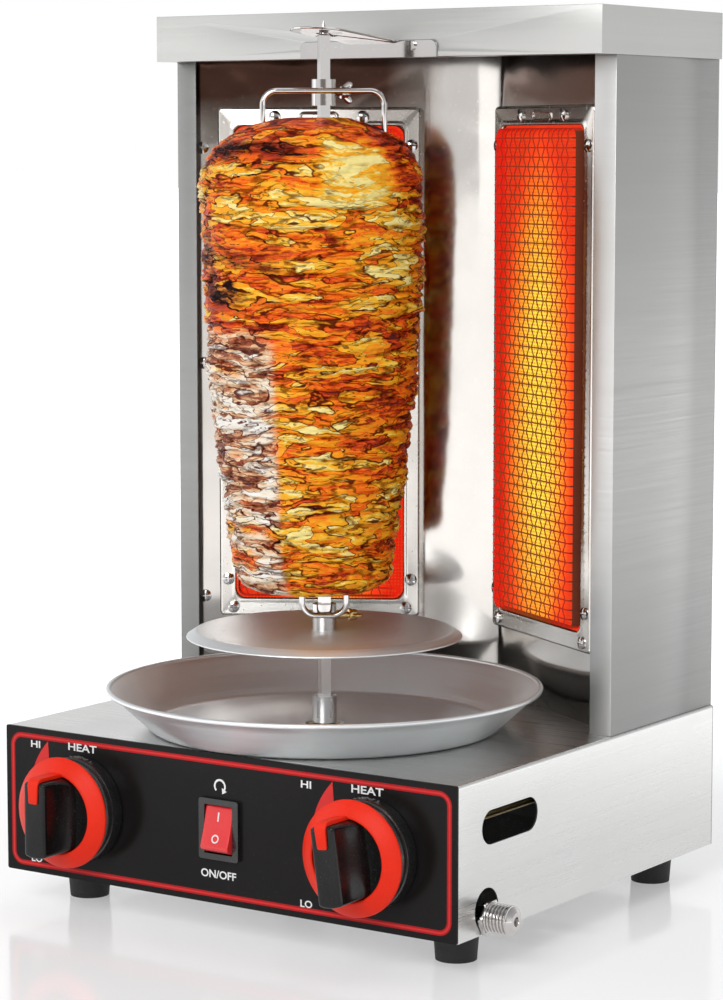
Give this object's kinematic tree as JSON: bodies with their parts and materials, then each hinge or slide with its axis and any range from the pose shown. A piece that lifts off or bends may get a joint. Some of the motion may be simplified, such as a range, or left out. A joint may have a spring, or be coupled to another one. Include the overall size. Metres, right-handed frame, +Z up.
{
  "type": "vertical spit grill",
  "caption": "Vertical spit grill for the worktop: steel base with knobs and rocker switch, infrared burners in a V, motor-driven spit with forks over a drip pan.",
  "frame": {"origin": "middle of the bounding box, on the surface that the feet stand on", "axes": "+Z up along the spit, +X to the user's right towards the gas inlet, -Y towards the user"},
  "size_m": [0.403, 0.413, 0.632],
  "materials": {
    "brushed": "brushed stainless steel sheet",
    "bright": "bright annealed stainless steel",
    "spun": "spun stainless steel",
    "chrome": "polished chromed steel",
    "zinc": "zinc-plated steel",
    "panel_black": "gloss black print with a red border line",
    "black_plastic": "black heat-resistant plastic, satin",
    "red_plastic": "red moulded plastic, gloss",
    "rubber_black": "black rubber, matt",
    "brass_raw": "machined brass",
    "ceramic_hot": "porous ceramic, glowing orange",
    "guard_hot": "heat-resistant steel wire, red hot",
    "motor_zinc": "plated steel can",
    "meat": "roasted slices, glazed with oil"
  },
  "bodies": {
    "cabinet": {"base_shell": "brushed", "base_floor": "zinc", "base_rear": "brushed", "control_panel": "panel_black", "foot_front_left": "rubber_black", "foot_front_right": "rubber_black", "foot_rear_left": "rubber_black", "foot_rear_right": "rubber_black", "cable_gland": "black_plastic", "switch_housing": "black_plastic", "manifold_pipe": "brass_raw", "gas_inlet": "chrome", "valve_body_left": "brass_raw", "valve_body_right": "brass_raw", "knob_rosette_left": "black_plastic", "knob_rosette_right": "black_plastic", "burner_pipe_left": "brass_raw", "burner_pipe_right": "brass_raw", "gas_jet_left": "brass_raw", "gas_jet_right": "brass_raw", "burner_housing_left": "zinc", "burner_housing_right": "zinc", "ceramic_tiles_left": "ceramic_hot", "ceramic_tiles_right": "ceramic_hot", "burner_frame_left": "bright", "burner_frame_right": "bright", "wire_guard_left": "guard_hot", "wire_guard_right": "guard_hot", "pan_head_screws": "zinc", "side_wall_left": "brushed", "side_wall_right": "brushed", "reflector_lining": "bright", "rear_cover": "brushed", "top_cover": "brushed", "spit_retainer": "chrome", "retainer_screws": "zinc", "gearbox_housing": "zinc", "gearbox_cover": "zinc", "motor_can": "motor_zinc", "deck_bush": "brass_raw"},
    "drive": {"drive_gear": "brass_raw", "drive_socket": "chrome"},
    "motor_rotor": {"motor_pinion": "brass_raw"},
    "spit": {"spit_rod": "chrome", "drip_plate": "spun", "lower_fork": "chrome", "meat_stack": "meat"},
    "upper_fork": {"upper_fork": "chrome"},
    "upper_screw": {"upper_thumb_screw": "chrome"},
    "lower_screw": {"lower_thumb_screw": "chrome"},
    "pan": {"drip_pan": "spun"},
    "rocker": {"switch_rocker": "red_plastic"},
    "push_left": {"valve_poppet_left": "brass_raw"},
    "push_right": {"valve_poppet_right": "brass_raw"},
    "knob_left": {"valve_spindle_left": "zinc", "knob_ring_left": "red_plastic", "knob_grip_left": "black_plastic"},
    "knob_right": {"valve_spindle_right": "zinc", "knob_ring_right": "red_plastic", "knob_grip_right": "black_plastic"}
  },
  "joints": [
    {"name": "spit_drive", "type": "hinge", "parent": "cabinet", "child": "drive", "pos_m": [-0.0115, -0.0325, 0.129], "axis": [0, 0, 1], "continuous": true},
    {"name": "motor_spin", "type": "hinge", "parent": "cabinet", "child": "motor_rotor", "pos_m": [-0.0115, 0.0075, 0.129], "axis": [0, 0, 1], "continuous": true},
    {"name": "spit_lift", "type": "slide", "parent": "drive", "child": "spit", "axis": [0, 0, 1], "range_m": [0, 0.016]},
    {"name": "upper_fork_slide", "type": "slide", "parent": "spit", "child": "upper_fork", "axis": [0, 0, 1], "range_m": [-0.005, 0.01]},
    {"name": "upper_screw_turn", "type": "hinge", "parent": "upper_fork", "child": "upper_screw", "pos_m": [-0.0115, -0.0325, 0.574], "axis": [0.5878, 0.809, 0], "range_deg": [0, 360]},
    {"name": "lower_screw_turn", "type": "hinge", "parent": "spit", "child": "lower_screw", "pos_m": [-0.0115, -0.0325, 0.2075], "axis": [0.5878, 0.809, 0], "range_deg": [0, 360]},
    {"name": "pan_lift", "type": "slide", "parent": "cabinet", "child": "pan", "axis": [0, 0, 1], "range_m": [0, 0.02]},
    {"name": "switch_rock", "type": "hinge", "parent": "cabinet", "child": "rocker", "pos_m": [-0.0115, -0.1535, 0.077], "axis": [1, 0, 0], "range_deg": [0, 30]},
    {"name": "knob_push_left", "type": "slide", "parent": "cabinet", "child": "push_left", "axis": [0, 1, 0], "range_m": [0, 0.003], "stiffness_N_per_m": 900, "springref_m": -0.003},
    {"name": "knob_turn_left", "type": "hinge", "parent": "push_left", "child": "knob_left", "pos_m": [-0.1335, -0.1555, 0.077], "axis": [0, -1, 0], "range_deg": [0, 150]},
    {"name": "knob_push_right", "type": "slide", "parent": "cabinet", "child": "push_right", "axis": [0, 1, 0], "range_m": [0, 0.003], "stiffness_N_per_m": 900, "springref_m": -0.003},
    {"name": "knob_turn_right", "type": "hinge", "parent": "push_right", "child": "knob_right", "pos_m": [0.1105, -0.1555, 0.077], "axis": [0, -1, 0], "range_deg": [-8, 142]}
  ],
  "couplings": [
    {"joint": "motor_spin", "follows": "spit_drive", "ratio": -4}
  ]
}
